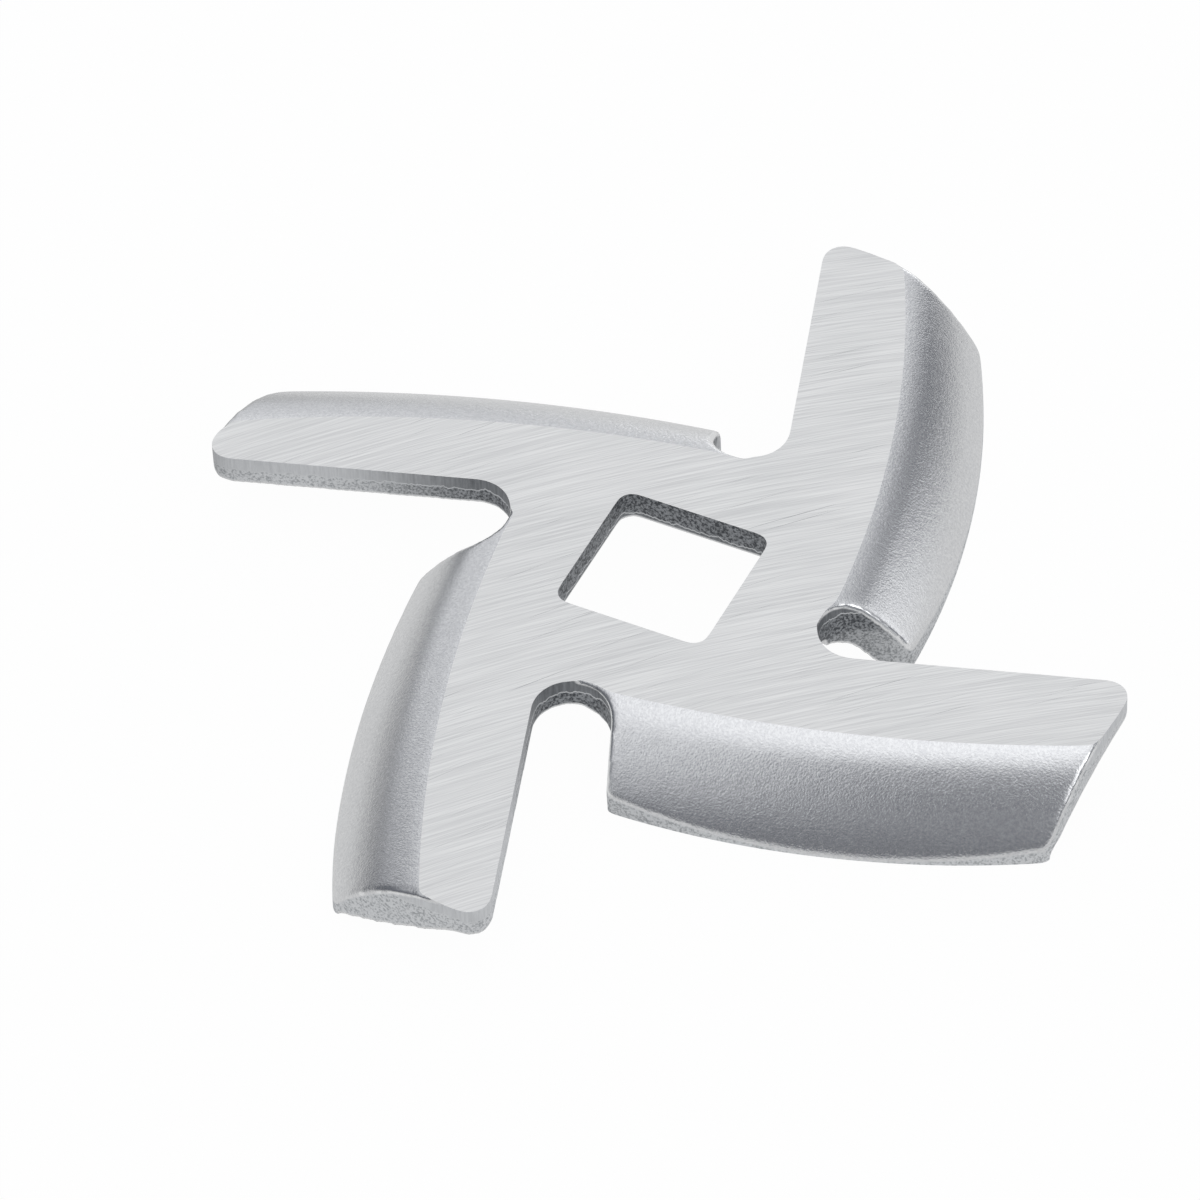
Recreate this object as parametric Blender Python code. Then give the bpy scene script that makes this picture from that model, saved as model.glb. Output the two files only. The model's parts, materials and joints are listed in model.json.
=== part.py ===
"""Meat grinder knife: one piece of steel with four arms, for the drive square of a household grinder.

A blank is punched from sheet, the trailing side of each arm is pressed down into a sloping flank,
and the top is then ground flat, so that each arm is a flat land behind a straight cutting edge.
The knife stands on the rims of its four flanks. Metres, +Z up, origin on the knife's axis at
the level that the rims stand on, with the sides of the drive square along X and Y.

The solid is worked out from a full-height blank of the punched outline: swept cutters take away what
lies above each flank and what lies under the sheet.
"""
import math

import bmesh
import bpy
from mathutils import Matrix, Vector

MM = 0.001

# The blank
SWING_RADIUS = 23.0 * MM
OVERALL_HEIGHT = 4.15 * MM
SHEET_THICKNESS = 1.65 * MM
EDGE_OFFSET = 4.7 * MM
TIP_CORNER_RADIUS = 1.0 * MM
TIP_END_RADIUS = 34.0 * MM

# The round-ended slot between one arm's cutting edge and the next arm's flank
GULLET_RADIUS = 1.82 * MM
GULLET_REACH = 9.44 * MM

# The bowed outer rim of each flank
RIM_RADIUS = 42.0 * MM
RIM_CROWN_OFFSET = 13.38 * MM
RIM_CROWN_REACH = 10.6 * MM
RIM_TIP_CORNER_RADIUS = 0.8 * MM
RIM_INNER_CORNER_RADIUS = 0.25 * MM

# The drive square
SQUARE_SIDE = 7.63 * MM
SQUARE_CORNER_RADIUS = 0.7 * MM
SQUARE_TURN = math.radians(17.6)

# The press tool: a shoulder that rolls over into a slightly rounded flank, swept along a shallow arc
SHOULDER_RADIUS = 4.2 * MM
SHOULDER_OFFSET = 8.0 * MM
SHOULDER_ANGLE = math.radians(40.0)
FLANK_RADIUS = 11.2 * MM
FLANK_END_ANGLE = math.radians(64.0)
PRESS_SWEEP_RADIUS = 66.0 * MM
PRESS_CROWN_REACH = 10.8 * MM
UNDER_SHOULDER_RADIUS = 8.5 * MM
UNDER_SHOULDER_OFFSET = 6.5 * MM
UNDER_FLANK_ANGLE = math.radians(32.0)
UNDER_LEVEL_RUN = 1.6 * MM

# How much further out than the first arm's flank each arm's flank was pressed
PRESS_SLIPS = (0, 0.15 * MM, -0.25 * MM, -0.1 * MM)

# The ramp under each slot's inner end, from the level underside to the flank's
RAMP_RUN = 1.0 * MM
RAMP_FALL = 0.4 * MM

# The grinding takes the crown of each shoulder off, and goes deepest on the first arm
GRIND_DEPTH = 0.18 * MM
GRIND_TILT = math.radians(0.38)

# How far a cutter runs past what it cuts, and the distance within which drawn points are one
OVERRUN = 1.0 * MM
WELD_DISTANCE = 0.001 * MM

ARM_COUNT = 4
ARM_PITCH = 2 * math.pi / ARM_COUNT
ARC_STEP = math.radians(10.0)
LONG_ARC_STEPS = 20
SHARP_ANGLE = math.radians(25.0)


def clear_scene():
    for thing in list(bpy.data.objects):
        bpy.data.objects.remove(thing, do_unlink=True)


def new_collection(name):
    group = bpy.data.collections.new(name)
    bpy.context.scene.collection.children.link(group)
    return group


def arc(centre, radius, start, end, steps=None):
    """Points along an arc from one angle to another, ends included."""
    if steps is None:
        steps = max(2, math.ceil(abs(end - start) / ARC_STEP))
    points = []
    for index in range(steps + 1):
        angle = start + (end - start) * index / steps
        points.append(centre + radius * Vector((math.cos(angle), math.sin(angle))))
    return points


def bearing(centre, point):
    """Angle at which a point is seen from a centre."""
    return math.atan2(point.y - centre.y, point.x - centre.x)


def crossings(centre_a, radius_a, centre_b, radius_b):
    """The two points where two circles cross."""
    span = centre_b - centre_a
    along = (radius_a ** 2 - radius_b ** 2 + span.length_squared) / (2 * span.length)
    across = math.sqrt(radius_a ** 2 - along ** 2)
    unit = span.normalized()
    side = Vector((unit.y, -unit.x)) * across
    base = centre_a + unit * along
    return [base + side, base - side]


def arm_outline():
    """One arm's share of the punched outline, counterclockwise, with the cutting edge along +X."""
    axis = Vector((0, 0))
    rim_centre = Vector((RIM_CROWN_REACH, RIM_RADIUS - RIM_CROWN_OFFSET))
    wall_reach = 2 * GULLET_RADIUS - EDGE_OFFSET

    inner_x = wall_reach + RIM_INNER_CORNER_RADIUS
    inner_reach = RIM_RADIUS - RIM_INNER_CORNER_RADIUS
    inner_drop = math.sqrt(inner_reach ** 2 - (inner_x - rim_centre.x) ** 2)
    inner_corner = Vector((inner_x, rim_centre.y - inner_drop))
    rim_corners = crossings(
        axis, SWING_RADIUS - RIM_TIP_CORNER_RADIUS, rim_centre, RIM_RADIUS - RIM_TIP_CORNER_RADIUS)
    rim_corner = min(rim_corners, key=lambda point: point.y)
    tip_y = -EDGE_OFFSET - TIP_CORNER_RADIUS
    tip_reach = SWING_RADIUS - TIP_CORNER_RADIUS
    tip_corner = Vector((math.sqrt(tip_reach ** 2 - tip_y ** 2), tip_y))
    tip_centres = crossings(
        rim_corner, TIP_END_RADIUS - RIM_TIP_CORNER_RADIUS, tip_corner, TIP_END_RADIUS - TIP_CORNER_RADIUS)
    tip_centre = min(tip_centres, key=lambda point: point.length)
    gullet = Vector((GULLET_REACH, GULLET_RADIUS - EDGE_OFFSET))

    rim_start = bearing(rim_centre, inner_corner)
    rim_end = bearing(rim_centre, rim_corner)
    tip_start = bearing(tip_centre, rim_corner)
    tip_end = bearing(tip_centre, tip_corner)
    quarter = math.pi / 2

    points = arc(inner_corner, RIM_INNER_CORNER_RADIUS, -2 * quarter, rim_start)
    points += arc(rim_centre, RIM_RADIUS, rim_start, rim_end, LONG_ARC_STEPS)[1:-1]
    points += arc(rim_corner, RIM_TIP_CORNER_RADIUS, rim_end, tip_start)
    points += arc(tip_centre, TIP_END_RADIUS, tip_start, tip_end, LONG_ARC_STEPS // 2)[1:-1]
    points += arc(tip_corner, TIP_CORNER_RADIUS, tip_end, quarter)
    points += arc(gullet, GULLET_RADIUS, -quarter, -3 * quarter)
    return points


def knife_outline():
    """The whole punched outline, with the drive square's sides along X and Y."""
    points = []
    for index in range(ARM_COUNT):
        turn = Matrix.Rotation(SQUARE_TURN + index * ARM_PITCH, 2)
        points += [turn @ point for point in arm_outline()]
    return points


def square_outline():
    """The drive square with its rounded corners."""
    half = SQUARE_SIDE / 2 - SQUARE_CORNER_RADIUS
    points = []
    for index in range(4):
        start = index * math.pi / 2
        turn = Matrix.Rotation(start, 2)
        points += arc(turn @ Vector((half, half)), SQUARE_CORNER_RADIUS, start, start + math.pi / 2)
    return points


def prism(name, outlines, bottom, top, group):
    """A flat 2D curve of closed outlines, extruded between two levels and made a welded mesh."""
    curve = bpy.data.curves.new(name, "CURVE")
    curve.dimensions = "2D"
    curve.fill_mode = "BOTH"
    curve.extrude = (top - bottom) / 2
    for outline in outlines:
        spline = curve.splines.new("POLY")
        spline.points.add(len(outline) - 1)
        for target, point in zip(spline.points, outline):
            target.co = (point.x, point.y, 0, 1)
        spline.use_cyclic_u = True
    drawn = bpy.data.objects.new(name + "_outline", curve)
    drawn.location.z = (top + bottom) / 2
    group.objects.link(drawn)
    bpy.context.view_layer.update()
    seen = drawn.evaluated_get(bpy.context.evaluated_depsgraph_get())
    mesh = bpy.data.meshes.new_from_object(seen)
    mesh.name = name
    solid = bpy.data.objects.new(name, mesh)
    solid.matrix_world = drawn.matrix_world
    group.objects.link(solid)
    bpy.data.objects.remove(drawn, do_unlink=True)

    welded = bmesh.new()
    welded.from_mesh(mesh)
    bmesh.ops.remove_doubles(welded, verts=welded.verts, dist=WELD_DISTANCE)
    bmesh.ops.recalc_face_normals(welded, faces=welded.faces)
    welded.to_mesh(mesh)
    welded.free()
    return solid


def swept_cutter(name, section, crest, start, index, group):
    """A closed section in the YZ plane, swept along the press tool's arc past both ends of an arm.

    The middle of the section starts at the given distance behind the knife's axis.
    """
    shape = bmesh.new()
    corners = [shape.verts.new((crest.x, crest.y - out, crest.z + up)) for out, up in section]
    face = shape.faces.new(corners)
    hub = crest + Vector((0, PRESS_SWEEP_RADIUS, 0))
    axis = Vector((0, 0, 1))
    section_middle = max(out for out, up in section) / 2
    back = math.asin((crest.x + start) / (PRESS_SWEEP_RADIUS + section_middle))
    ahead = math.asin((SWING_RADIUS + OVERRUN - crest.x) / PRESS_SWEEP_RADIUS)
    bmesh.ops.rotate(shape, verts=shape.verts, cent=hub, matrix=Matrix.Rotation(-back, 3, axis))
    bmesh.ops.spin(shape, geom=[face, *face.edges, *face.verts], cent=hub, axis=axis,
                   angle=back + ahead, steps=LONG_ARC_STEPS)
    bmesh.ops.remove_doubles(shape, verts=shape.verts, dist=WELD_DISTANCE)
    bmesh.ops.recalc_face_normals(shape, faces=shape.faces)
    shape.transform(Matrix.Rotation(SQUARE_TURN + index * ARM_PITCH, 4, "Z"))
    mesh = bpy.data.meshes.new(name)
    shape.to_mesh(mesh)
    shape.free()
    cutter = bpy.data.objects.new(name, mesh)
    group.objects.link(cutter)
    return cutter


def flank_profile(arcs, fall):
    """Arcs that start level and roll over one after another, then a straight slope to a given fall.

    Each arc is given by its radius and the slope at its end.
    """
    points = [Vector((0, 0))]
    slope = 0
    for radius, end_slope in arcs:
        centre = points[-1] - radius * Vector((math.sin(slope), math.cos(slope)))
        points += arc(centre, radius, math.pi / 2 - slope, math.pi / 2 - end_slope, LONG_ARC_STEPS // 2)[1:]
        slope = end_slope
    last = points[-1]
    left = fall + last.y
    points.append(last + Vector((left / math.tan(slope), -left)))
    return points


def top_cutter(index, group):
    """What lies above one flank, from the middle of the slot. Its crest is higher than the land."""
    arcs = [(SHOULDER_RADIUS, SHOULDER_ANGLE), (FLANK_RADIUS, FLANK_END_ANGLE)]
    section = flank_profile(arcs, OVERALL_HEIGHT + GRIND_DEPTH + OVERRUN)
    section += [Vector((section[-1].x, OVERRUN)), Vector((0, OVERRUN))]
    offset = SHOULDER_OFFSET + PRESS_SLIPS[index]
    crest = Vector((PRESS_CROWN_REACH, -offset, OVERALL_HEIGHT + GRIND_DEPTH))
    slot_middle = EDGE_OFFSET - GULLET_RADIUS
    name = f"above_flank_{index + 1}"
    cutter = swept_cutter(name, section, crest, slot_middle, index, group)

    land = Matrix.Translation((0, 0, OVERALL_HEIGHT)) @ Matrix.Rotation(SQUARE_TURN, 4, "Z")
    cutter.data.transform(land @ Matrix.Rotation(-GRIND_TILT, 4, "Y") @ land.inverted())
    return cutter


def under_cutter(index, group):
    """What lies under one flank and a stretch beside it, from the next arm's cutting edge."""
    level = OVERALL_HEIGHT - SHEET_THICKNESS
    section = flank_profile([(UNDER_SHOULDER_RADIUS, UNDER_FLANK_ANGLE)], level + OVERRUN)
    section += [Vector((-UNDER_LEVEL_RUN, -level - OVERRUN)), Vector((-UNDER_LEVEL_RUN, 0))]
    offset = UNDER_SHOULDER_OFFSET + PRESS_SLIPS[index]
    crest = Vector((PRESS_CROWN_REACH, -offset, level))
    return swept_cutter(f"under_flank_{index + 1}", section, crest, EDGE_OFFSET, index, group)


def under_land_cutter(index, group):
    """What lies under the level part of one arm, from the slot beside it to its flank."""
    right = SWING_RADIUS + OVERRUN
    low = UNDER_LEVEL_RUN / 2 - UNDER_SHOULDER_OFFSET
    high = GULLET_RADIUS - EDGE_OFFSET
    corners = [Vector((0, low)), Vector((right, low)), Vector((right, high)), Vector((0, high))]
    turn = Matrix.Rotation(SQUARE_TURN + index * ARM_PITCH, 2)
    return prism(f"under_land_{index + 1}", [[turn @ corner for corner in corners]],
                 -OVERRUN, OVERALL_HEIGHT - SHEET_THICKNESS, group)


def ramp_cutter(index, group):
    """What lies under the inner end of one slot, up to a ramp that falls towards the next arm's flank."""
    near = GULLET_RADIUS - EDGE_OFFSET
    corners = [Vector((0, near)), Vector((GULLET_REACH, near)),
               Vector((GULLET_REACH, near + RAMP_RUN)), Vector((0, near + RAMP_RUN))]
    turn = Matrix.Rotation(SQUARE_TURN + index * ARM_PITCH, 2)
    cutter = prism(f"under_slot_{index + 1}", [[turn @ corner for corner in corners]],
                   -OVERRUN, OVERALL_HEIGHT - SHEET_THICKNESS, group)
    for vertex in cutter.data.vertices:
        along_arm = turn.inverted() @ vertex.co.xy
        if vertex.co.z > 0 and along_arm.y > near + RAMP_RUN / 2:
            vertex.co.z -= RAMP_FALL
    return cutter


def steel():
    """Bright stainless steel with a ground top."""
    material = bpy.data.materials.new("ground stainless steel")
    material.use_nodes = True
    shader = material.node_tree.nodes["Principled BSDF"]
    shader.inputs["Base Color"].default_value = (0.62, 0.63, 0.65, 1)
    shader.inputs["Metallic"].default_value = 1.0
    shader.inputs["Roughness"].default_value = 0.32
    return material


def under_hub_cutter(group):
    """What lies under the middle of the knife, out to halfway between the edges and the flanks."""
    half = (EDGE_OFFSET + UNDER_SHOULDER_OFFSET) / 2
    corners = [Vector((half, half)), Vector((-half, half)), Vector((-half, -half)), Vector((half, -half))]
    turn = Matrix.Rotation(SQUARE_TURN, 2)
    return prism("under_hub", [[turn @ corner for corner in corners]],
                 -OVERRUN, OVERALL_HEIGHT - SHEET_THICKNESS, group)


def cut_away(solid, cutters):
    """Subtract each cutter, make the result the solid's own mesh and shade its curves smooth.

    The cutters graze the land and share its lower level, where the exact solver leaves open
    edges, so the manifold one cuts here.
    """
    for cutter in cutters.objects:
        cutter.hide_render = True
        cutter.display_type = "WIRE"
        cut = solid.modifiers.new(cutter.name, "BOOLEAN")
        cut.operation = "DIFFERENCE"
        cut.solver = "MANIFOLD"
        cut.object = cutter
    bpy.context.view_layer.update()
    seen = solid.evaluated_get(bpy.context.evaluated_depsgraph_get())
    mesh = bpy.data.meshes.new_from_object(seen)
    solid.modifiers.clear()
    solid.data = mesh
    mesh.name = solid.name
    mesh.shade_smooth()
    mesh.set_sharp_from_angle(angle=SHARP_ANGLE)


def build_knife():
    product = new_collection("meat_grinder_knife")
    cutters = new_collection("cutters")

    knife = prism("grinder_knife", [knife_outline(), square_outline()], 0, OVERALL_HEIGHT, product)
    knife.data.materials.append(steel())

    under_hub_cutter(cutters)
    for index in range(ARM_COUNT):
        top_cutter(index, cutters)
        under_cutter(index, cutters)
        under_land_cutter(index, cutters)
        ramp_cutter(index, cutters)
    cut_away(knife, cutters)
    return knife


clear_scene()
build_knife()
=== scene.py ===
"""A meat grinder knife: one piece of stainless sheet, punched, pressed and ground flat on top."""
import json
import math

import bpy
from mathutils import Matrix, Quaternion, Vector

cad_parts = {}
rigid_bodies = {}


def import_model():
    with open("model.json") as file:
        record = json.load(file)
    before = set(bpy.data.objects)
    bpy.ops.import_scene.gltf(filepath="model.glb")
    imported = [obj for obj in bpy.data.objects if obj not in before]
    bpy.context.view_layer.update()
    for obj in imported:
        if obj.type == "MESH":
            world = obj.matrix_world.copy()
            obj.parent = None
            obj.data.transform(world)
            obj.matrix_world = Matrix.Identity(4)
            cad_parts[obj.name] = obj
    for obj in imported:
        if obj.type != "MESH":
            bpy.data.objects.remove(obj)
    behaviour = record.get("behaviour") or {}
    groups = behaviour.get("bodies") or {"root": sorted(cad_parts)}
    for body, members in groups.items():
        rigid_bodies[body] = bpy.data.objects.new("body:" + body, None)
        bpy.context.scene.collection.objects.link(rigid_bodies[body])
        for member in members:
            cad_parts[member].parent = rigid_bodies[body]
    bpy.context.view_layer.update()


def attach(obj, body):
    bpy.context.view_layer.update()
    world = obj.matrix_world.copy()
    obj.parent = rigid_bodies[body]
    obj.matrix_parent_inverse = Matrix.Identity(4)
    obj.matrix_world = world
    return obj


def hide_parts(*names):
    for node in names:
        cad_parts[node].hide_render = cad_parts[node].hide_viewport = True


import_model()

# The blank: stainless sheet, punched in one stroke to four arms around a hub. It is drawn with the
# first arm along X and its cutting edge on the far side of the arm from its rim, and it is made
# taller than the finished knife, because pressing and grinding take the rest away.
MM = 0.001
overall_height = 4.15 * MM
swing_radius = 22.995 * MM
edge_offset = 4.7 * MM
tip_corner_radius = 1.0 * MM
tip_end_radius = 34.0 * MM
gullet_radius = 1.82 * MM
gullet_reach = 9.44 * MM
rim_radius = 42.0 * MM
rim_crown = Vector((10.6, -13.38, 0)) * MM
rim_tip_corner_radius = 0.8 * MM
rim_inner_corner_radius = 0.25 * MM
spare_stock = 0.6 * MM
arm_count = 4
arm_pitch = math.radians(90)
join_gap = 0.01 * MM
up = Vector((0, 0, 1))
hub = Vector((0, 0, 0))


def start_line(name, place):
    """Make an object of one vertex at a place, in edit mode, and hand it back."""
    bpy.ops.object.select_all(action="DESELECT")
    bpy.ops.mesh.primitive_plane_add(size=MM, location=(0, 0, 0))
    line = bpy.context.object
    line.name = name
    bpy.ops.object.mode_set(mode="EDIT")
    bpy.ops.mesh.select_all(action="SELECT")
    bpy.ops.mesh.merge(type="CENTER")
    bpy.ops.transform.translate(value=place)
    return line


def line_by(step):
    """Draw a straight line from the selected end of the line."""
    bpy.ops.mesh.extrude_vertices_move(TRANSFORM_OT_translate={"value": step})


def turn_line(centre, axis, angle, steps):
    """Draw an arc from the selected end of the line, counterclockwise as seen against the axis."""
    bpy.ops.mesh.spin(steps=steps, angle=-angle, center=centre, axis=axis)


def draw_out(step):
    """Draw the filled outline out to a solid with its faces outwards, and leave edit mode."""
    bpy.ops.mesh.extrude_region_move(TRANSFORM_OT_translate={"value": step})
    bpy.ops.mesh.select_all(action="SELECT")
    bpy.ops.mesh.normals_make_consistent(inside=False)
    bpy.ops.object.mode_set(mode="OBJECT")


def bearing(centre, point):
    """The angle at which a point is seen from a centre."""
    return math.atan2(point.y - centre.y, point.x - centre.x)


def crossings(centre_a, radius_a, centre_b, radius_b):
    """The two points where two circles cross."""
    span = centre_b - centre_a
    along = (radius_a ** 2 - radius_b ** 2 + span.length_squared) / (2 * span.length)
    across = span.normalized().cross(up) * math.sqrt(radius_a ** 2 - along ** 2)
    base = centre_a + span.normalized() * along
    return [base + across, base - across]


wall_reach = 2 * gullet_radius - edge_offset
rim_centre = rim_crown + Vector((0, rim_radius, 0))
inner_x = wall_reach + rim_inner_corner_radius
inner_reach = rim_radius - rim_inner_corner_radius
inner_drop = math.sqrt(inner_reach ** 2 - (inner_x - rim_centre.x) ** 2)
inner_corner = Vector((inner_x, rim_centre.y - inner_drop, 0))

rim_corners = crossings(hub, swing_radius - rim_tip_corner_radius,
                        rim_centre, rim_radius - rim_tip_corner_radius)
rim_corner = min(rim_corners, key=lambda point: point.y)
tip_reach = swing_radius - tip_corner_radius
tip_y = -edge_offset - tip_corner_radius
tip_corner = Vector((math.sqrt(tip_reach ** 2 - tip_y ** 2), tip_y, 0))
tip_centres = crossings(rim_corner, tip_end_radius - rim_tip_corner_radius,
                        tip_corner, tip_end_radius - tip_corner_radius)
tip_centre = min(tip_centres, key=lambda point: point.length)
gullet = Vector((gullet_reach, gullet_radius - edge_offset, 0))

rim_start = bearing(rim_centre, inner_corner)
rim_end = bearing(rim_centre, rim_corner)
tip_start = bearing(tip_centre, rim_corner)
tip_end = bearing(tip_centre, tip_corner)

knife = start_line("knife", inner_corner - Vector((rim_inner_corner_radius, 0, 0)))
turn_line(inner_corner, up, rim_start + math.pi, steps=6)
turn_line(rim_centre, up, rim_end - rim_start, steps=60)
turn_line(rim_corner, up, tip_start - rim_end, steps=10)
turn_line(tip_centre, up, tip_end - tip_start, steps=40)
turn_line(tip_corner, up, math.pi / 2 - tip_end, steps=12)
line_by((gullet.x - tip_corner.x, 0, 0))
turn_line(gullet, up, -math.pi, steps=32)
line_by((-inner_corner.y - gullet.x, 0, 0))
bpy.ops.mesh.select_all(action="SELECT")
bpy.ops.mesh.spin(steps=arm_count - 1, angle=(arm_count - 1) * arm_pitch, center=hub, axis=up,
                  dupli=True)
bpy.ops.mesh.select_all(action="SELECT")
bpy.ops.mesh.remove_doubles(threshold=join_gap)
bpy.ops.mesh.edge_face_add()
bpy.ops.transform.translate(value=-spare_stock * up)
draw_out((overall_height + 2 * spare_stock) * up)

# The press: the trailing side of each arm is forced down between two swept dies, over a rounded
# shoulder and down a flank that steepens towards the rim. Each upper die takes away what lies above
# its flank. Where four values stand together, they are for the four arms in turn.
crown_reach = 10.8 * MM
sweep_radii = (66.0 * MM, 57.0 * MM, 66.0 * MM, 66.0 * MM)
grind_depth = 0.18 * MM
upper_offset = 8.0 * MM
upper_slips = (0, 0.15 * MM, -0.6 * MM, -0.27 * MM)
shoulder_radii = (4.2 * MM, 4.2 * MM, 6.0 * MM, 4.8 * MM)
shoulder_angle = math.radians(40)
flank_radii = (11.2 * MM, 10.2 * MM, 11.2 * MM, 10.2 * MM)
flank_end_angle = math.radians(64)
overrun = 1.0 * MM
seam_gap = 0.001 * MM


def fill_section():
    """Close the line that is drawn and fill it."""
    bpy.ops.mesh.select_all(action="SELECT")
    bpy.ops.mesh.edge_face_add()


def draw_slope(crest, arcs, fall):
    """Draw arcs that roll over from level in turn, then a straight slope, and hand back its end."""
    place = crest
    slope = 0
    for radius, end_slope in arcs:
        centre = place + radius * Vector((0, math.sin(slope), -math.cos(slope)))
        turn_line(centre, (1, 0, 0), end_slope - slope, steps=24)
        place = centre + radius * Vector((0, -math.sin(end_slope), math.cos(end_slope)))
        slope = end_slope
    left = place.z - crest.z + fall
    line_by((0, -left / math.tan(slope), -left))
    return place - Vector((0, left / math.tan(slope), left))


def sweep_die(die, crest, behind, sweep_radius):
    """Sweep the filled section along the press arc, from behind the axis to past the tip."""
    centre = crest + Vector((0, sweep_radius, 0))
    section_middle = die.dimensions.y / 2
    back = math.asin((crest.x + behind) / (sweep_radius + section_middle))
    ahead = math.asin((swing_radius + overrun - crest.x) / sweep_radius)
    bpy.ops.transform.rotate(value=back, orient_axis="Z", center_override=centre)
    turn_line(centre, up, back + ahead, steps=80)
    bpy.ops.mesh.select_all(action="SELECT")
    bpy.ops.mesh.remove_doubles(threshold=seam_gap)
    bpy.ops.mesh.normals_make_consistent(inside=False)
    bpy.ops.object.mode_set(mode="OBJECT")


def hold(piece):
    """Select one piece alone and make it the active one."""
    bpy.ops.object.select_all(action="DESELECT")
    bpy.context.view_layer.objects.active = piece
    piece.select_set(True)


def turn_piece(piece, angle, axis, centre):
    """Turn a piece counterclockwise about an axis through a centre."""
    hold(piece)
    bpy.ops.transform.rotate(value=-angle, orient_axis=axis, center_override=centre)
    bpy.ops.object.transform_apply()


def combine(piece, tool, operation):
    """Take a tool's volume away from a piece, or keep what lies in it, and put the tool away."""
    hold(piece)
    taking = piece.modifiers.new("combine", "BOOLEAN")
    taking.operation = operation
    taking.solver = "MANIFOLD"
    taking.object = tool
    bpy.ops.object.modifier_apply(modifier=taking.name)
    bpy.ops.object.select_all(action="DESELECT")
    tool.select_set(True)
    bpy.ops.object.delete()


def cut(piece, tool):
    """Take a tool's volume away from a piece."""
    combine(piece, tool, "DIFFERENCE")


for index, slip in enumerate(upper_slips):
    crest = Vector((crown_reach, -upper_offset - slip, overall_height + grind_depth))
    upper_arcs = ((shoulder_radii[index], shoulder_angle), (flank_radii[index], flank_end_angle))
    upper_die = start_line("upper_die", crest)
    end = draw_slope(crest, upper_arcs, crest.z + overrun)
    line_by((0, 0, crest.z + 2 * overrun))
    line_by((0, crest.y - end.y, 0))
    fill_section()
    sweep_die(upper_die, crest, edge_offset - gullet_radius, sweep_radii[index])
    turn_piece(upper_die, index * arm_pitch, "Z", hub)
    cut(knife, upper_die)

# The first arm's end: pressing bent it a little under, most of all towards its rim. One leaning plane
# cuts it, from the top at its cutting side to low down at its rim.
tip_lean = math.radians(9)
tip_slack = 0.1 * MM
rim_end_height = 0.9 * MM

tip_heading = Vector((math.cos(tip_end), math.sin(tip_end), 0))
rim_heading = Vector((math.cos(tip_start), math.sin(tip_start), 0))
tip_outer = tip_corner + tip_corner_radius * tip_heading + overall_height * up
rim_outer = rim_corner + rim_tip_corner_radius * rim_heading
end_edge = rim_outer + rim_end_height * up - tip_outer
outward = up.cross(end_edge).normalized()
end_face = end_edge.cross(-math.cos(tip_lean) * up - math.sin(tip_lean) * outward).normalized()
hold(knife)
bpy.ops.object.mode_set(mode="EDIT")
bpy.ops.mesh.select_all(action="SELECT")
bpy.ops.mesh.bisect(plane_co=tip_outer + tip_slack * outward, plane_no=end_face,
                    use_fill=True, clear_outer=True)
bpy.ops.object.mode_set(mode="OBJECT")

# The underside: the sheet keeps its thickness under the land and the hub, and each flank is hollow
# under it, down to a narrow foot along the rim. The knife is tilted first, because it was ground a
# little askew, which makes the land wider on one side.
grind_tilt = math.radians(0.38)
sheet_thickness = 1.65 * MM
lower_offset = 6.5 * MM
lower_slips = (0, -0.45 * MM, -0.25 * MM, 0.05 * MM)
under_radii = (8.5 * MM, 6.5 * MM, 8.5 * MM, 3.0 * MM)
under_angles = (math.radians(32), math.radians(46), math.radians(32), math.radians(24))
under_level_run = 1.2 * MM
least_foot = 0.32 * MM
ramp_run = 1.0 * MM
ramp_fall = 0.4 * MM
under_level = overall_height - sheet_thickness
slot_middle = gullet_radius - edge_offset
hub_half = (edge_offset + lower_offset) / 2


def block(name, low, high):
    """A block between two corners."""
    bpy.ops.object.select_all(action="DESELECT")
    bpy.ops.mesh.primitive_cube_add(size=1, location=(low + high) / 2, scale=high - low)
    bpy.context.object.name = name
    bpy.ops.object.transform_apply()
    return bpy.context.object


turn_piece(knife, -grind_tilt, "Y", overall_height * up)

for index, slip in enumerate(lower_slips):
    crest = Vector((crown_reach, -lower_offset - slip, under_level))
    under_arc = (under_radii[index], under_angles[index])
    lower_die = start_line("lower_die", crest)
    end = draw_slope(crest, (under_arc,), under_level + overrun)
    line_by((0, crest.y - end.y + under_level_run, 0))
    line_by((0, 0, under_level + overrun))
    fill_section()
    sweep_die(lower_die, crest, edge_offset, sweep_radii[index])
    bpy.ops.object.select_all(action="DESELECT")
    bpy.ops.mesh.primitive_cylinder_add(vertices=360, radius=rim_radius - least_foot,
                                        depth=4 * overall_height, location=rim_centre)
    combine(lower_die, bpy.context.object, "INTERSECT")
    turn_piece(lower_die, index * arm_pitch, "Z", hub)
    cut(knife, lower_die)

    land_die = block("land_die", Vector((0, under_level_run / 2 - lower_offset, -overrun)),
                     Vector((swing_radius + overrun, slot_middle, under_level)))
    turn_piece(land_die, index * arm_pitch, "Z", hub)
    cut(knife, land_die)

    ramp_die = start_line("ramp_die", Vector((0, slot_middle, -overrun)))
    line_by((0, 0, under_level + overrun))
    line_by((0, ramp_run, -ramp_fall))
    line_by((0, 0, ramp_fall - under_level - overrun))
    fill_section()
    draw_out((gullet_reach, 0, 0))
    turn_piece(ramp_die, index * arm_pitch, "Z", hub)
    cut(knife, ramp_die)

cut(knife, block("hub_die", Vector((-hub_half, -hub_half, -overrun)),
                 Vector((hub_half, hub_half, under_level))))

# The drive square: a rounded square punched through the hub for the grinder's worm shaft. Its sides
# lie along X and Y, and the arms stand at a slight turn to it.
square_side = 7.63 * MM
square_corner_radius = 0.7 * MM
square_turn = math.radians(17.6)

turn_piece(knife, square_turn, "Z", hub)

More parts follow.
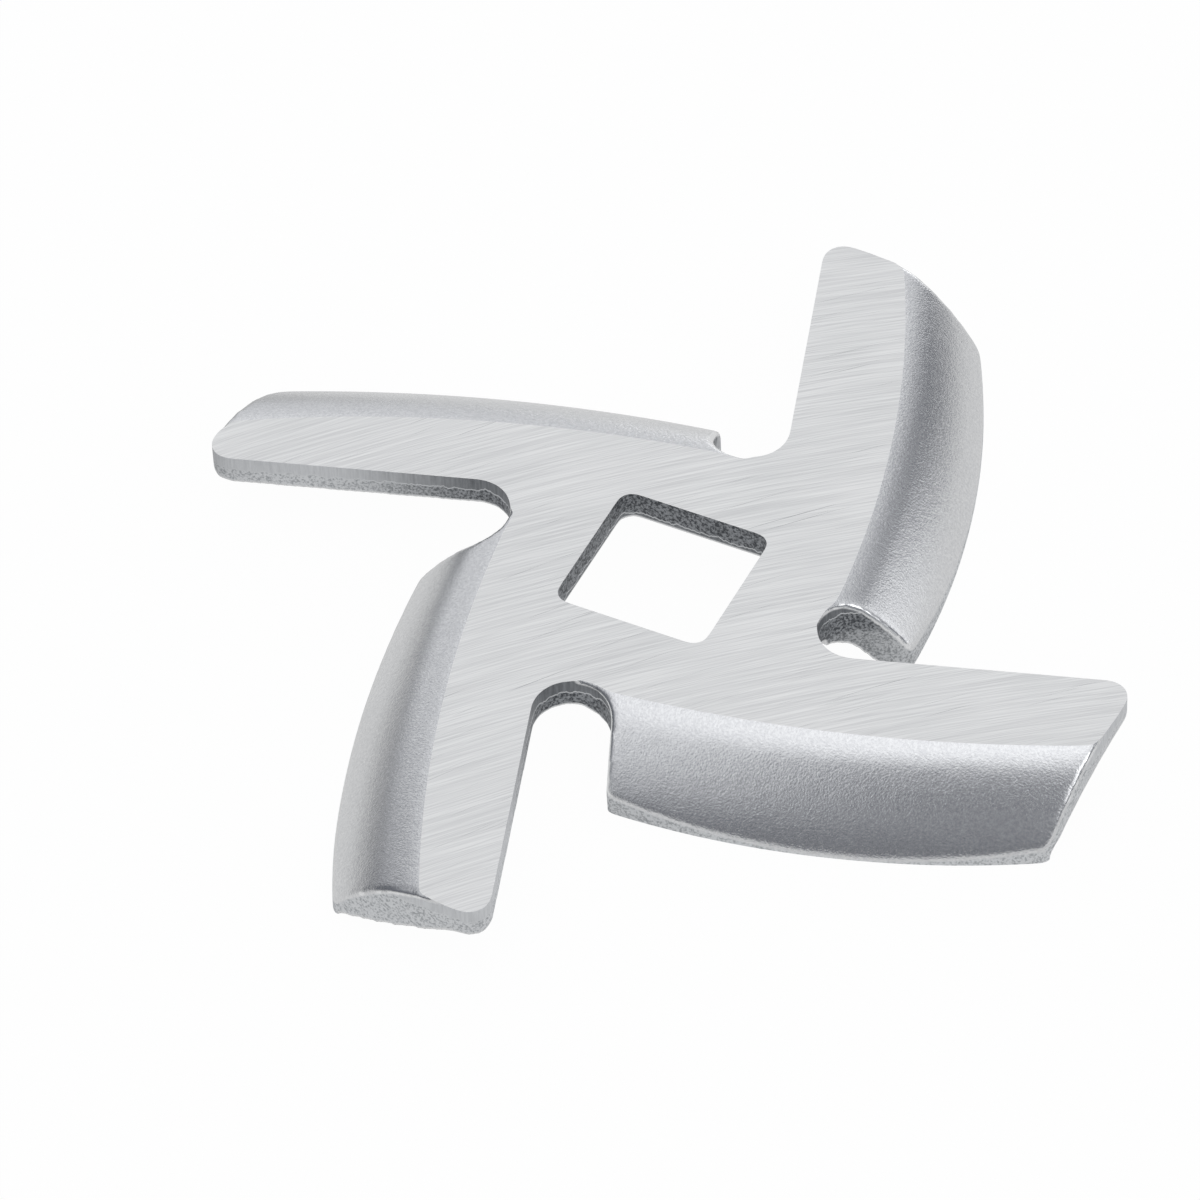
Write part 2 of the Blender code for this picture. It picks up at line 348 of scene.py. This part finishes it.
bpy.ops.object.select_all(action="DESELECT")
bpy.ops.mesh.primitive_plane_add(size=square_side, location=-overrun * up)
punch = bpy.context.object
punch.name = "square_punch"
bpy.ops.object.transform_apply()
bpy.ops.object.mode_set(mode="EDIT")
bpy.ops.mesh.bevel(offset=square_corner_radius, segments=8, affect="VERTICES")
bpy.ops.mesh.select_all(action="SELECT")
draw_out((overall_height + 3 * overrun) * up)
cut(knife, punch)

# Pressing leaves every edge of the steel a little rounded. The grinding wheel then takes the top down
# to one flat land, which is crisp where it meets the walls and the flanks, and the rims are dressed
# flat where the knife stands on them.
voxel = 0.125 * MM
level_slack = 0.001 * MM
level_facing = 0.999
down_facing = -0.6
underside_share = 0.15
edge_sharpness = math.radians(20)

hold(knife)
remesh = knife.modifiers.new("even_skin", "REMESH")
remesh.mode = "VOXEL"
remesh.voxel_size = voxel
bpy.ops.object.modifier_apply(modifier=remesh.name)
bpy.ops.object.mode_set(mode="EDIT")
bpy.ops.mesh.select_all(action="SELECT")
bpy.ops.mesh.vertices_smooth(factor=0.5, repeat=10)
for level, away in ((overall_height * up, up), (hub, -up)):
    bpy.ops.mesh.select_all(action="SELECT")
    bpy.ops.mesh.bisect(plane_co=level, plane_no=away, use_fill=True, clear_outer=True,
                        threshold=0.0001 * MM)
bpy.ops.object.mode_set(mode="OBJECT")


def pick_faces(piece, wanted):
    """Go into edit mode with those faces selected that a test on centre and normal names."""
    hold(piece)
    bpy.ops.object.mode_set(mode="EDIT")
    bpy.ops.mesh.select_mode(type="FACE")
    bpy.ops.mesh.select_all(action="DESELECT")
    bpy.ops.object.mode_set(mode="OBJECT")
    for face in piece.data.polygons:
        face.select = wanted(face.center, face.normal)
    bpy.ops.object.mode_set(mode="EDIT")


def on_land(centre, normal):
    """Whether a face belongs to the ground land."""
    return centre.z > overall_height - level_slack and normal.z > level_facing


def on_foot(centre, normal):
    """Whether a face belongs to a foot."""
    return centre.z < level_slack and normal.z < -level_facing


def faces_down(centre, normal):
    """Whether a face looks down, above the feet."""
    return normal.z < down_facing and not on_foot(centre, normal)


bpy.ops.object.shade_smooth()
for ground_face in (on_land, on_foot):
    pick_faces(knife, ground_face)
    bpy.ops.mesh.region_to_loop()
    bpy.ops.mesh.mark_sharp()
    bpy.ops.object.mode_set(mode="OBJECT")

# The underside is plain, so its inner faces are made fewer. Then the sharp edges below the land are
# marked, for a painted highlight along them.
pick_faces(knife, faces_down)
bpy.ops.mesh.select_less()
bpy.ops.mesh.select_less()
bpy.ops.mesh.decimate(ratio=underside_share)
bpy.ops.mesh.select_mode(type="EDGE")
bpy.ops.mesh.select_all(action="DESELECT")
bpy.ops.mesh.edges_select_sharp(sharpness=edge_sharpness)
bpy.ops.mesh.select_more()
bpy.ops.mesh.select_more()
bpy.ops.mesh.select_less()
bpy.ops.object.mode_set(mode="OBJECT")
# The marked vertices carry a painted highlight in the material, a bright colour along the edges.
edge_glint = knife.data.attributes.new("edge_glint", "FLOAT", "POINT")
for vertex, mark in zip(knife.data.vertices, edge_glint.data):
    mark.value = 1.0 if vertex.select and vertex.co.z < overall_height - voxel else 0.0

# Pressed stainless steel: satin, with the fine pebbled skin that a press leaves. The sheared walls are
# the same steel, darker and duller, each with a burnished band, a wavy light line and a torn, pitted
# band, with painted shade near the hub and a painted floor reflection towards the tips. Levels and
# reaches in the materials are plain millimetres.
per_mm = 1 / MM
wall_tilt = (0.1, 0.26)
pebbles_per_mm = 10.0
pebble_height = 0.015 * MM
swells_per_mm = 0.9
swell_height = 0.014 * MM
pits_per_mm = 7.5
pit_depth = 0.035 * MM
streaks_per_mm = (8.0, 8.0, 0.8)
grains_per_mm = 7.0
line_level = 3.45
square_line_level = 2.95
line_fade = 0.07
line_waves_per_mm = 1.6
line_wander = 0.7
square_reach = 6.2
# Between these reaches the walls' painted shade near the hub turns into a painted floor reflection.
dark_reach = 9.0
light_reach = 18.0
low_levels = (2.0, 2.6)
low_lift = 3.5
satin_roughness = 0.24
wall_roughness = 0.5
glint_edge_roughness = 0.2
eased = {"interpolation_type": "SMOOTHSTEP"}
coloured = {"data_type": "RGBA"}
times = {"operation": "MULTIPLY"}


def linear(code):
    """An sRGB hex colour as linear light."""
    levels = [int(code[place:place + 2], 16) / 255 for place in (0, 2, 4)]
    light = [level / 12.92 if level <= 0.04045 else ((level + 0.055) / 1.055) ** 2.4
             for level in levels]
    return (*light, 1)


def add_node(tree, kind, settings=None, inputs=None):
    """Add a node, make its settings, and set or link each of its inputs, by name or number."""
    node = tree.nodes.new(kind)
    for name, value in (settings or {}).items():
        setattr(node, name, value)
    for name, value in (inputs or {}).items():
        if isinstance(value, bpy.types.NodeSocket):
            tree.links.new(value, node.inputs[name])
        else:
            node.inputs[name].default_value = value
    return node


pressed = bpy.data.materials.new("pressed stainless steel")
pressed.use_nodes = True
tree = pressed.node_tree
shader = tree.nodes["Principled BSDF"]
shader.inputs["Metallic"].default_value = 1.0
place = add_node(tree, "ShaderNodeTexCoord")
in_mm = add_node(tree, "ShaderNodeMapping", None,
                 {"Vector": place.outputs["Object"], "Scale": (per_mm, per_mm, per_mm)})
parts = add_node(tree, "ShaderNodeSeparateXYZ", None, {0: in_mm.outputs[0]})
flat = add_node(tree, "ShaderNodeMapping", None,
                {"Vector": place.outputs["Object"], "Scale": (per_mm, per_mm, 0)})
reach = add_node(tree, "ShaderNodeVectorMath", {"operation": "LENGTH"}, {0: flat.outputs[0]})
facing = add_node(tree, "ShaderNodeSeparateXYZ", None, {0: place.outputs["Normal"]})
level = add_node(tree, "ShaderNodeMath", {"operation": "ABSOLUTE"}, {0: facing.outputs["Z"]})
wall = add_node(tree, "ShaderNodeMapRange", eased,
                {"Value": level.outputs[0], "From Min": wall_tilt[0], "From Max": wall_tilt[1],
                 "To Min": 1.0, "To Max": 0.0})

pebbles = add_node(tree, "ShaderNodeTexNoise", None,
                   {"Vector": in_mm.outputs[0], "Scale": pebbles_per_mm,
                    "Detail": 2.0, "Roughness": 0.6})
swell = add_node(tree, "ShaderNodeTexNoise", None,
                 {"Vector": in_mm.outputs[0], "Scale": swells_per_mm,
                  "Detail": 2.0, "Roughness": 0.5})
torn = add_node(tree, "ShaderNodeTexNoise", None,
                {"Vector": in_mm.outputs[0], "Scale": pits_per_mm, "Detail": 3.0, "Roughness": 0.65})
stretched = add_node(tree, "ShaderNodeMapping", None,
                     {"Vector": in_mm.outputs[0], "Scale": streaks_per_mm})
streaks = add_node(tree, "ShaderNodeTexNoise", None,
                   {"Vector": stretched.outputs[0], "Scale": 1.0, "Detail": 2.0, "Roughness": 0.5})

# The burnished band lies above the wavy line on the outer walls, and below it in the drive square.
wander = add_node(tree, "ShaderNodeTexNoise", None,
                  {"Vector": flat.outputs[0], "Scale": line_waves_per_mm,
                   "Detail": 3.0, "Roughness": 0.6})
wave = add_node(tree, "ShaderNodeMath", {"operation": "MULTIPLY_ADD"},
                {0: wander.outputs["Fac"], 1: line_wander, 2: -line_wander / 2})
wavy = add_node(tree, "ShaderNodeMath", {"operation": "ADD"},
                {0: parts.outputs["Z"], 1: wave.outputs[0]})
in_square = add_node(tree, "ShaderNodeMath", {"operation": "LESS_THAN"},
                     {0: reach.outputs["Value"], 1: square_reach})
over_line = add_node(tree, "ShaderNodeMapRange", eased,
                     {"Value": wavy.outputs[0], "From Min": line_level - line_fade,
                      "From Max": line_level + line_fade})
under_line = add_node(tree, "ShaderNodeMapRange", eased,
                      {"Value": wavy.outputs[0], "From Min": square_line_level - line_fade,
                       "From Max": square_line_level + line_fade, "To Min": 1.0, "To Max": 0.0})
burnished = add_node(tree, "ShaderNodeMix", None,
                     {0: in_square.outputs[0], 2: over_line.outputs[0], 3: under_line.outputs[0]})
unburnished = add_node(tree, "ShaderNodeMath", {"operation": "SUBTRACT"},
                       {0: 1.0, 1: burnished.outputs[0]})
ridge = add_node(tree, "ShaderNodeMath", times, {0: burnished.outputs[0], 1: unburnished.outputs[0]})
light_line = add_node(tree, "ShaderNodeMapRange", None,
                      {"Value": ridge.outputs[0], "From Min": 0.05, "From Max": 0.25})

# The walls are painted lighter towards the tips and lower down, as a reflection of the open floor, and
# darker towards the hub, as shade in the drive square and the gullets; their pits grow sparser
# outwards.
low = add_node(tree, "ShaderNodeMapRange", eased,
               {"Value": parts.outputs["Z"], "From Min": low_levels[0], "From Max": low_levels[1],
                "To Min": low_lift, "To Max": 0.0})
far = add_node(tree, "ShaderNodeMath", {"operation": "ADD"},
               {0: reach.outputs["Value"], 1: low.outputs[0]})
painted_shade_to_reflection = add_node(tree, "ShaderNodeMapRange", eased,
                 {"Value": far.outputs[0], "From Min": dark_reach, "From Max": light_reach})
pit = add_node(tree, "ShaderNodeMapRange", eased,
               {"Value": torn.outputs["Fac"], "From Min": 0.38, "From Max": 0.62})
sparse_pit = add_node(tree, "ShaderNodeMapRange", eased,
                      {"Value": torn.outputs["Fac"], "From Min": 0.36, "From Max": 0.56})
torn_shaded = add_node(tree, "ShaderNodeMix", coloured,
                     {0: pit.outputs[0], 6: linear("4f5256"), 7: linear("a1a4a8")})
torn_lit = add_node(tree, "ShaderNodeMix", coloured,
                      {0: sparse_pit.outputs[0], 6: linear("b2b5b8"), 7: linear("e2e4e6")})
torn_colour = add_node(tree, "ShaderNodeMix", coloured,
                       {0: painted_shade_to_reflection.outputs[0], 6: torn_shaded.outputs[2], 7: torn_lit.outputs[2]})
smooth_shaded = add_node(tree, "ShaderNodeMix", coloured,
                       {0: streaks.outputs["Fac"], 6: linear("54575b"), 7: linear("a3a6aa")})
smooth_lit = add_node(tree, "ShaderNodeMix", coloured,
                        {0: streaks.outputs["Fac"], 6: linear("c4c6c9"), 7: linear("e9ebed")})
smooth_colour = add_node(tree, "ShaderNodeMix", coloured,
                         {0: painted_shade_to_reflection.outputs[0], 6: smooth_shaded.outputs[2],
                          7: smooth_lit.outputs[2]})
wall_colour = add_node(tree, "ShaderNodeMix", coloured,
                       {0: burnished.outputs[0], 6: torn_colour.outputs[2],
                        7: smooth_colour.outputs[2]})
lined = add_node(tree, "ShaderNodeMix", coloured,
                 {0: light_line.outputs[0], 6: wall_colour.outputs[2], 7: linear("dcdee0")})

# The pressed skin has a slight grain of light and dark, and marked edges that face up get a painted
# highlight, with less roughness.
grain = add_node(tree, "ShaderNodeTexNoise", None,
                 {"Vector": in_mm.outputs[0], "Scale": grains_per_mm,
                  "Detail": 2.0, "Roughness": 0.6})
grained = add_node(tree, "ShaderNodeMapRange", None,
                   {"Value": grain.outputs["Fac"], "From Min": 0.35, "From Max": 0.65})
satin = add_node(tree, "ShaderNodeMix", coloured,
                 {0: grained.outputs[0], 6: linear("d6d7d9"), 7: linear("e3e4e5")})
skin = add_node(tree, "ShaderNodeMix", coloured,
                {0: wall.outputs[0], 6: satin.outputs[2], 7: lined.outputs[2]})
glint_mark = add_node(tree, "ShaderNodeAttribute", {"attribute_name": "edge_glint"})
edges = add_node(tree, "ShaderNodeMapRange", eased,
                 {"Value": glint_mark.outputs["Fac"], "From Min": 0.45, "From Max": 1.0, "To Max": 0.95})
upward = add_node(tree, "ShaderNodeMapRange", eased,
                  {"Value": facing.outputs["Z"], "From Min": 0.05, "From Max": 0.3})
painted_glint = add_node(tree, "ShaderNodeMath", times, {0: edges.outputs[0], 1: upward.outputs[0]})
edged = add_node(tree, "ShaderNodeMix", coloured,
                 {0: painted_glint.outputs[0], 6: skin.outputs[2], 7: linear("eeeff0")})
tree.links.new(edged.outputs[2], shader.inputs["Base Color"])
dull = add_node(tree, "ShaderNodeMapRange", None,
                {"Value": wall.outputs[0], "To Min": satin_roughness, "To Max": wall_roughness})
smoothed = add_node(tree, "ShaderNodeMix", None,
                    {0: painted_glint.outputs[0], 2: dull.outputs[0], 3: glint_edge_roughness})
tree.links.new(smoothed.outputs[0], shader.inputs["Roughness"])

unglinted = add_node(tree, "ShaderNodeMath", {"operation": "SUBTRACT"},
                    {0: 1.0, 1: painted_glint.outputs[0]})
wide = add_node(tree, "ShaderNodeBump", None,
                {"Height": swell.outputs["Fac"], "Strength": 1.0, "Distance": swell_height})
fine = add_node(tree, "ShaderNodeBump", None,
                {"Height": pebbles.outputs["Fac"], "Strength": unglinted.outputs[0],
                 "Distance": pebble_height, "Normal": wide.outputs["Normal"]})
torn_depth = add_node(tree, "ShaderNodeMapRange", None,
                      {"Value": painted_shade_to_reflection.outputs[0], "To Min": 1.0, "To Max": 0.4})
torn_wall = add_node(tree, "ShaderNodeMath", times, {0: wall.outputs[0], 1: torn_depth.outputs[0]})
rough_share = add_node(tree, "ShaderNodeMath", times,
                       {0: torn_wall.outputs[0], 1: unburnished.outputs[0]})
coarse = add_node(tree, "ShaderNodeBump", None,
                  {"Height": torn.outputs["Fac"], "Strength": rough_share.outputs[0],
                   "Distance": pit_depth, "Normal": fine.outputs["Normal"]})
tree.links.new(coarse.outputs["Normal"], shader.inputs["Normal"])

# Ground stainless steel: even and light, with fine scratches in long shallow arcs. The real ones are a
# few hundredths of a millimetre apart, and these are drawn a little coarser to show. Each layer has
# its turn in degrees, then its features to a millimetre along the scratches and across them.
scratch_heading = math.radians(44)
scratch_bow = 130.0
scratch_depth = 0.0025 * MM
fine_layer = (0.0, 0.14, 19.0)
crossing_layer = (4.0, 0.10, 9.0)
cut_layer = (-5.0, 0.10, 16.0)
clouds_per_mm = 0.22

ground = bpy.data.materials.new("ground stainless steel")
ground.use_nodes = True
tree = ground.node_tree
shader = tree.nodes["Principled BSDF"]
shader.inputs["Metallic"].default_value = 1.0
place = add_node(tree, "ShaderNodeTexCoord")
heading = add_node(tree, "ShaderNodeMapping", None,
                   {"Vector": place.outputs["Object"], "Scale": (per_mm, per_mm, per_mm),
                    "Rotation": (0, 0, -scratch_heading)})
parts = add_node(tree, "ShaderNodeSeparateXYZ", None, {0: heading.outputs[0]})
square = add_node(tree, "ShaderNodeMath", times, {0: parts.outputs["X"], 1: parts.outputs["X"]})
bowed = add_node(tree, "ShaderNodeMath", {"operation": "MULTIPLY_ADD"},
                 {0: square.outputs[0], 1: 0.5 / scratch_bow, 2: parts.outputs["Y"]})
bent = add_node(tree, "ShaderNodeCombineXYZ", None,
                {"X": parts.outputs["X"], "Y": bowed.outputs[0]})
layers = []
for lay, along, across in (fine_layer, crossing_layer, cut_layer):
    laid = add_node(tree, "ShaderNodeMapping", None,
                    {"Vector": bent.outputs[0], "Rotation": (0, 0, math.radians(lay)),
                     "Location": (0, 0, lay)})
    drawn = add_node(tree, "ShaderNodeMapping", None,
                     {"Vector": laid.outputs[0], "Scale": (along, across, 1.0)})
    layers.append(add_node(tree, "ShaderNodeTexNoise", None,
                           {"Vector": drawn.outputs[0], "Scale": 1.0,
                            "Detail": 3.0, "Roughness": 0.6}))
both = add_node(tree, "ShaderNodeMath", {"operation": "ADD"},
                {0: layers[0].outputs["Fac"], 1: layers[1].outputs["Fac"]})
scratches = add_node(tree, "ShaderNodeMapRange", None,
                     {"Value": both.outputs[0], "From Min": 0.82, "From Max": 1.18})
cuts = add_node(tree, "ShaderNodeMapRange", eased,
                {"Value": layers[2].outputs["Fac"], "From Min": 0.66, "From Max": 0.70})
cloud = add_node(tree, "ShaderNodeTexNoise", None,
                 {"Vector": heading.outputs[0], "Scale": clouds_per_mm, "Detail": 2.0})
cloudy = add_node(tree, "ShaderNodeMix", coloured,
                  {0: cloud.outputs["Fac"], 6: linear("e3e4e3"), 7: linear("ebebea")})
streaked = add_node(tree, "ShaderNodeMix", {"data_type": "RGBA", "blend_type": "MULTIPLY"},
                    {0: scratches.outputs[0], 6: cloudy.outputs[2], 7: linear("e9e9ea")})
scored = add_node(tree, "ShaderNodeMix", {"data_type": "RGBA", "blend_type": "MULTIPLY"},
                  {0: cuts.outputs[0], 6: streaked.outputs[2], 7: linear("bfc0c2")})
tree.links.new(scored.outputs[2], shader.inputs["Base Color"])
polish = add_node(tree, "ShaderNodeMapRange", None,
                  {"Value": layers[0].outputs["Fac"], "From Min": 0.3, "From Max": 0.7,
                   "To Min": 0.36, "To Max": 0.44})
tree.links.new(polish.outputs[0], shader.inputs["Roughness"])
relief = add_node(tree, "ShaderNodeBump", None,
                  {"Height": both.outputs[0], "Strength": 1.0, "Distance": scratch_depth})
tree.links.new(relief.outputs["Normal"], shader.inputs["Normal"])

knife.data.materials.clear()
knife.data.materials.append(pressed)
knife.data.materials.append(ground)
pick_faces(knife, on_land)
bpy.ops.mesh.select_mode(type="FACE")
knife.active_material_index = 1
bpy.ops.object.material_slot_assign()
bpy.ops.object.mode_set(mode="OBJECT")

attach(knife, "root")
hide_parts("grinder_knife")

# The floor: a plain white sweep of paper that the knife stands on. The camera sees it white, with a
# little of the knife's shadow, and the metal sees it greyer, most of all towards the left.
floor_size = 6.0
floor_gap = 0.02 * MM
whiteness = 0.97
leftward_heading = Vector((-0.98, -0.17, 0))
fade_start = 18.0
fade_end = 34.0

bpy.ops.object.select_all(action="DESELECT")
bpy.ops.mesh.primitive_plane_add(size=floor_size, location=(0, 0, -floor_gap))
floor = bpy.context.object
floor.name = "floor"
bpy.ops.object.transform_apply()
paper = bpy.data.materials.new("white paper")
paper.use_nodes = True
tree = paper.node_tree
diffuse = tree.nodes["Principled BSDF"]
diffuse.inputs["Base Color"].default_value = linear("f4f4f4")
diffuse.inputs["Roughness"].default_value = 0.9
diffuse.inputs["Specular IOR Level"].default_value = 0.0
path = add_node(tree, "ShaderNodeLightPath")
seen = add_node(tree, "ShaderNodeMath", {"operation": "MAXIMUM"},
                {0: path.outputs["Is Camera Ray"], 1: path.outputs["Is Glossy Ray"]})
seen_any = add_node(tree, "ShaderNodeMath", {"operation": "MAXIMUM"},
                    {0: seen.outputs[0], 1: path.outputs["Is Transmission Ray"]})
share = add_node(tree, "ShaderNodeMath", times, {0: seen_any.outputs[0], 1: whiteness})
place = add_node(tree, "ShaderNodeTexCoord")
leftward = add_node(tree, "ShaderNodeVectorMath", {"operation": "DOT_PRODUCT"},
                    {0: place.outputs["Object"], 1: leftward_heading / MM})
fade = add_node(tree, "ShaderNodeMapRange", eased,
                {"Value": leftward.outputs["Value"], "From Min": fade_start, "From Max": fade_end,
                 "To Min": 0.77, "To Max": 0.43})
glow = add_node(tree, "ShaderNodeMix", None,
                {0: path.outputs["Is Glossy Ray"], 2: 1.0, 3: fade.outputs[0]})
white = add_node(tree, "ShaderNodeEmission", None,
                 {"Color": linear("ffffff"), "Strength": glow.outputs[0]})
mixed = add_node(tree, "ShaderNodeMixShader", None,
                 {0: share.outputs[0], 1: diffuse.outputs[0], 2: white.outputs[0]})
tree.links.new(mixed.outputs[0], tree.nodes["Material Output"].inputs["Surface"])
floor.data.materials.append(paper)

# The light: a dim, slightly blue room with soft lights and cards around the knife, which the metal
# shows as its bright and dark bands. Each has, in degrees, its azimuth, its elevation and the angles
# from its middle where it starts to fade and where it ends, and then its level.
room_light = (0.14, 0.147, 0.167)
overhead_box = (-24, 84, 0, 82, 1.15)
back_card = (114, 17, 32, 40, 0.58)
left_card = (156, 14, 7, 15, 0.38)
right_card = (38, 11, 11, 23, 1.0)
right_box = (-18, 33, 8, 22, 1.6)
front_card = (-108, 38, 10, 27, 0.34)
camera_shade = (-71, 49, 8, 24, -0.52)
low_window = (94, -9, 16, 24, 1.4)

world = bpy.data.worlds.new("studio")
bpy.context.scene.world = world
world.use_nodes = True
tree = world.node_tree
place = add_node(tree, "ShaderNodeTexCoord")
light = room_light
for *angles, strength in (overhead_box, back_card, left_card, right_card, right_box, front_card,
                          camera_shade, low_window):
    azimuth, elevation, full, faded = [math.radians(angle) for angle in angles]
    heading = Vector((math.cos(elevation) * math.cos(azimuth),
                      math.cos(elevation) * math.sin(azimuth), math.sin(elevation)))
    facing = add_node(tree, "ShaderNodeVectorMath", {"operation": "DOT_PRODUCT"},
                      {0: place.outputs["Generated"], 1: heading})
    apart = add_node(tree, "ShaderNodeMath", {"operation": "ARCCOSINE"},
                     {0: facing.outputs["Value"]})
    shine = add_node(tree, "ShaderNodeMapRange", eased,
                     {"Value": apart.outputs[0], "From Min": full, "From Max": faded,
                      "To Min": strength, "To Max": 0.0})
    light = add_node(tree, "ShaderNodeVectorMath", {"operation": "ADD"},
                     {0: light, 1: shine.outputs[0]}).outputs[0]
tree.links.new(light, tree.nodes["Background"].inputs["Color"])

# The camera: some way off with a long lens, at the photograph's angle.
camera_place = Vector((134.78, -260.70, 307.34)) * MM
camera_aim = Vector((-1.734, -3.048, 4.15)) * MM
camera_roll = math.radians(-2.601)
bpy.ops.object.select_all(action="DESELECT")
bpy.ops.object.camera_add(location=camera_place)
camera = bpy.context.object
camera.data.lens = 273.31
camera.data.sensor_width = 36
camera.rotation_mode = "QUATERNION"
level_view = (camera_aim - camera_place).to_track_quat("-Z", "Y")
camera.rotation_quaternion = level_view @ Quaternion((0, 0, 1), camera_roll)
bpy.context.scene.camera = camera
bpy.context.scene.view_settings.view_transform = "Standard"
